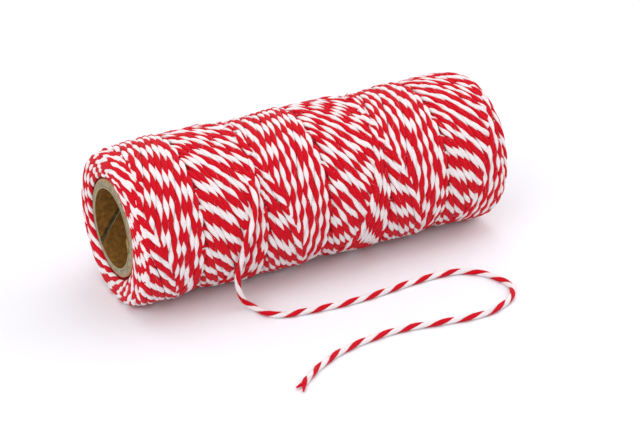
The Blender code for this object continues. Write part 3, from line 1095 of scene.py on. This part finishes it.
bpy.ops.mesh.primitive_circle_add(
    vertices=ROUND_STEPS, radius=LINER_OUTER_RADIUS, fill_type="NOTHING"
)
liner = bpy.context.object
liner.name = "tube_liner"
liner.rotation_euler = (0, math.pi / 2, 0)
bpy.ops.object.transform_apply(location=False, rotation=True, scale=False)
seam = Vector((0, -math.sin(LINER_START_ANGLE), math.cos(LINER_START_ANGLE)))
bpy.ops.object.mode_set(mode="EDIT")
bpy.ops.mesh.select_all(action="DESELECT")
bpy.ops.object.mode_set(mode="OBJECT")
for point in liner.data.vertices:
    point.select = point.co.normalized().dot(seam) > math.cos(HALF_GAP)
bpy.ops.object.mode_set(mode="EDIT")
bpy.ops.mesh.delete(type="VERT")
bpy.ops.object.mode_set(mode="OBJECT")
sweep = liner.modifiers.new("spiral", "SCREW")
sweep.axis = "X"
sweep.angle = LINER_TURN
sweep.screw_offset = TUBE_LENGTH / 1000
sweep.steps = LINER_STEPS
sweep.render_steps = LINER_STEPS
thicken = liner.modifiers.new("thickness", "SOLIDIFY")
thicken.thickness = LINER_THICKNESS
thicken.offset = 1
thicken.material_offset_rim = 1
liner.data.materials.append(KRAFT)
liner.data.materials.append(CUT_PAPER)
apply_modifiers(liner)
inner = min(math.hypot(point.co.y, point.co.z) for point in liner.data.vertices)
print("liner inner radius", round(inner * 1000, 2), "mm,", len(liner.data.polygons), "faces")
liner.location = (-TUBE_LENGTH / 2000, 0, AXIS_HEIGHT / 1000)
bpy.ops.object.transform_apply(location=True, rotation=False, scale=False)
bpy.ops.object.shade_smooth_by_angle(angle=SMOOTH_BELOW)
deselect_all()

# %% Rims as the saw left them
# The inner edge of each cut end stands a little proud. The end rises inwards from one radius,
# over a narrow width.
RIM_PROUD = 0.0003
RISES_INSIDE = 0.0146
RISES_OVER = 0.0018
TUBE_END = TUBE_LENGTH / 2000

for piece in (wall, liner):
    for point in piece.data.vertices:
        if abs(point.co.x) > TUBE_END - 0.0005:
            radius = math.hypot(point.co.y, point.co.z - AXIS_HEIGHT / 1000)
            inwards = min(max((RISES_INSIDE - radius) / RISES_OVER, 0), 1)
            point.co.x += math.copysign(RIM_PROUD * inwards, point.co.x)
    piece.data.update()
    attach(piece, "root")
    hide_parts("core_tube")
print("inner rims", round(1000 * RIM_PROUD, 1), "mm proud")

# %% [markdown]
# ## Torn edge of the liner
#
# A bit of the liner is torn at the front of the near end. Its ragged pale edge stands out from
# the rim and leans inwards. It could be cut from the liner, but a small grid bent along the rim
# is easier to shape, because each row of the table places one column of its points.

# %% Torn edge of the paper
# Each row has the angle round the tube in degrees, from straight up towards the front, then how
# far the paper stands out and leans in, in millimetres.
TORN_EDGE = (
    (77, 0.05, 0.00),
    (80, 0.32, 0.20),
    (83, 0.50, 0.40),
    (86, 0.42, 0.38),
    (89, 0.28, 0.25),
    (92, 0.34, 0.30),
    (95, 0.22, 0.18),
    (98, 0.28, 0.20),
    (101, 0.18, 0.10),
    (104, 0.05, 0.00),
)

GRID_SIZE = 0.005
TORN_ROOT = 0.0002
TORN_THICKNESS = 0.00022

bpy.ops.mesh.primitive_grid_add(
    x_subdivisions=len(TORN_EDGE) - 1, y_subdivisions=2, size=GRID_SIZE
)
torn = bpy.context.object
torn.name = "torn_paper_edge"
across = sorted({round(point.co.x, 6) for point in torn.data.vertices})
for point in torn.data.vertices:
    degrees, stands, leans = TORN_EDGE[across.index(round(point.co.x, 6))]
    share = point.co.y / GRID_SIZE + 0.5
    angle = math.radians(degrees)
    radius = LINER_OUTER_RADIUS - TORN_ROOT - leans * share**2 / 1000
    x = -TUBE_END - RIM_PROUD + TORN_ROOT - (stands / 1000 + TORN_ROOT) * share
    point.co = (x, -radius * math.sin(angle), AXIS_HEIGHT / 1000 + radius * math.cos(angle))
thicken = torn.modifiers.new("thickness", "SOLIDIFY")
thicken.thickness = TORN_THICKNESS
apply_modifiers(torn)
bpy.ops.object.mode_set(mode="EDIT")
bpy.ops.mesh.select_all(action="SELECT")
bpy.ops.mesh.normals_make_consistent(inside=False)
bpy.ops.object.mode_set(mode="OBJECT")
torn.data.materials.append(TORN)
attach(torn, "root")
print("torn edge", [round(side * 1000, 1) for side in torn.dimensions], "mm")
deselect_all()

# %% [markdown]
# ## Floor, light and colours
#
# The spool lies on a pale table that runs out of the picture and is nearly white there. Four
# large soft lights and a bright room leave only soft shadows, close round the spool and the
# loose end. The colours are shown as they are, with no film look.

# %% Floor and light
bpy.ops.mesh.primitive_plane_add(size=6, location=(0, 0, 0))
floor = bpy.context.object
floor.name = "floor"
pale = bpy.data.materials.new("pale floor")
pale.use_nodes = True
surface = pale.node_tree.nodes["Principled BSDF"]
surface.inputs["Base Color"].default_value = (0.870, 0.870, 0.900, 1)
surface.inputs["Roughness"].default_value = 0.9
floor.data.materials.append(pale)

LIT_PLACE = Vector((0, 0, 0.02))
SOFTBOX_SIZE = 0.9
# Each softbox: its name, its place in metres, and its power in watts
SOFTBOXES = (
    ("top softbox", (0.0, 0.05, 1.05), 2.6),
    ("back softbox", (0.55, 0.55, 0.7), 1.3),
    ("right softbox", (0.9, -0.1, 0.55), 2.75),
    ("left softbox", (-0.8, -0.4, 0.6), 3.6),
)

for name, place, power in SOFTBOXES:
    bpy.ops.object.light_add(type="AREA", location=place)
    light = bpy.context.object
    light.name = name
    light.data.shape = "DISK"
    light.data.size = SOFTBOX_SIZE
    light.data.energy = power
    aim = LIT_PLACE - Vector(place)
    light.rotation_euler = aim.to_track_quat("-Z", "Y").to_euler()
world = bpy.data.worlds.new("studio")
world.use_nodes = True
sky = world.node_tree.nodes["Background"]
sky.inputs["Color"].default_value = (0.98, 0.97, 1, 1)
sky.inputs["Strength"].default_value = 0.75
bpy.context.scene.world = world
bpy.context.scene.view_settings.view_transform = "Standard"
deselect_all()
print(len(SOFTBOXES), "softboxes")
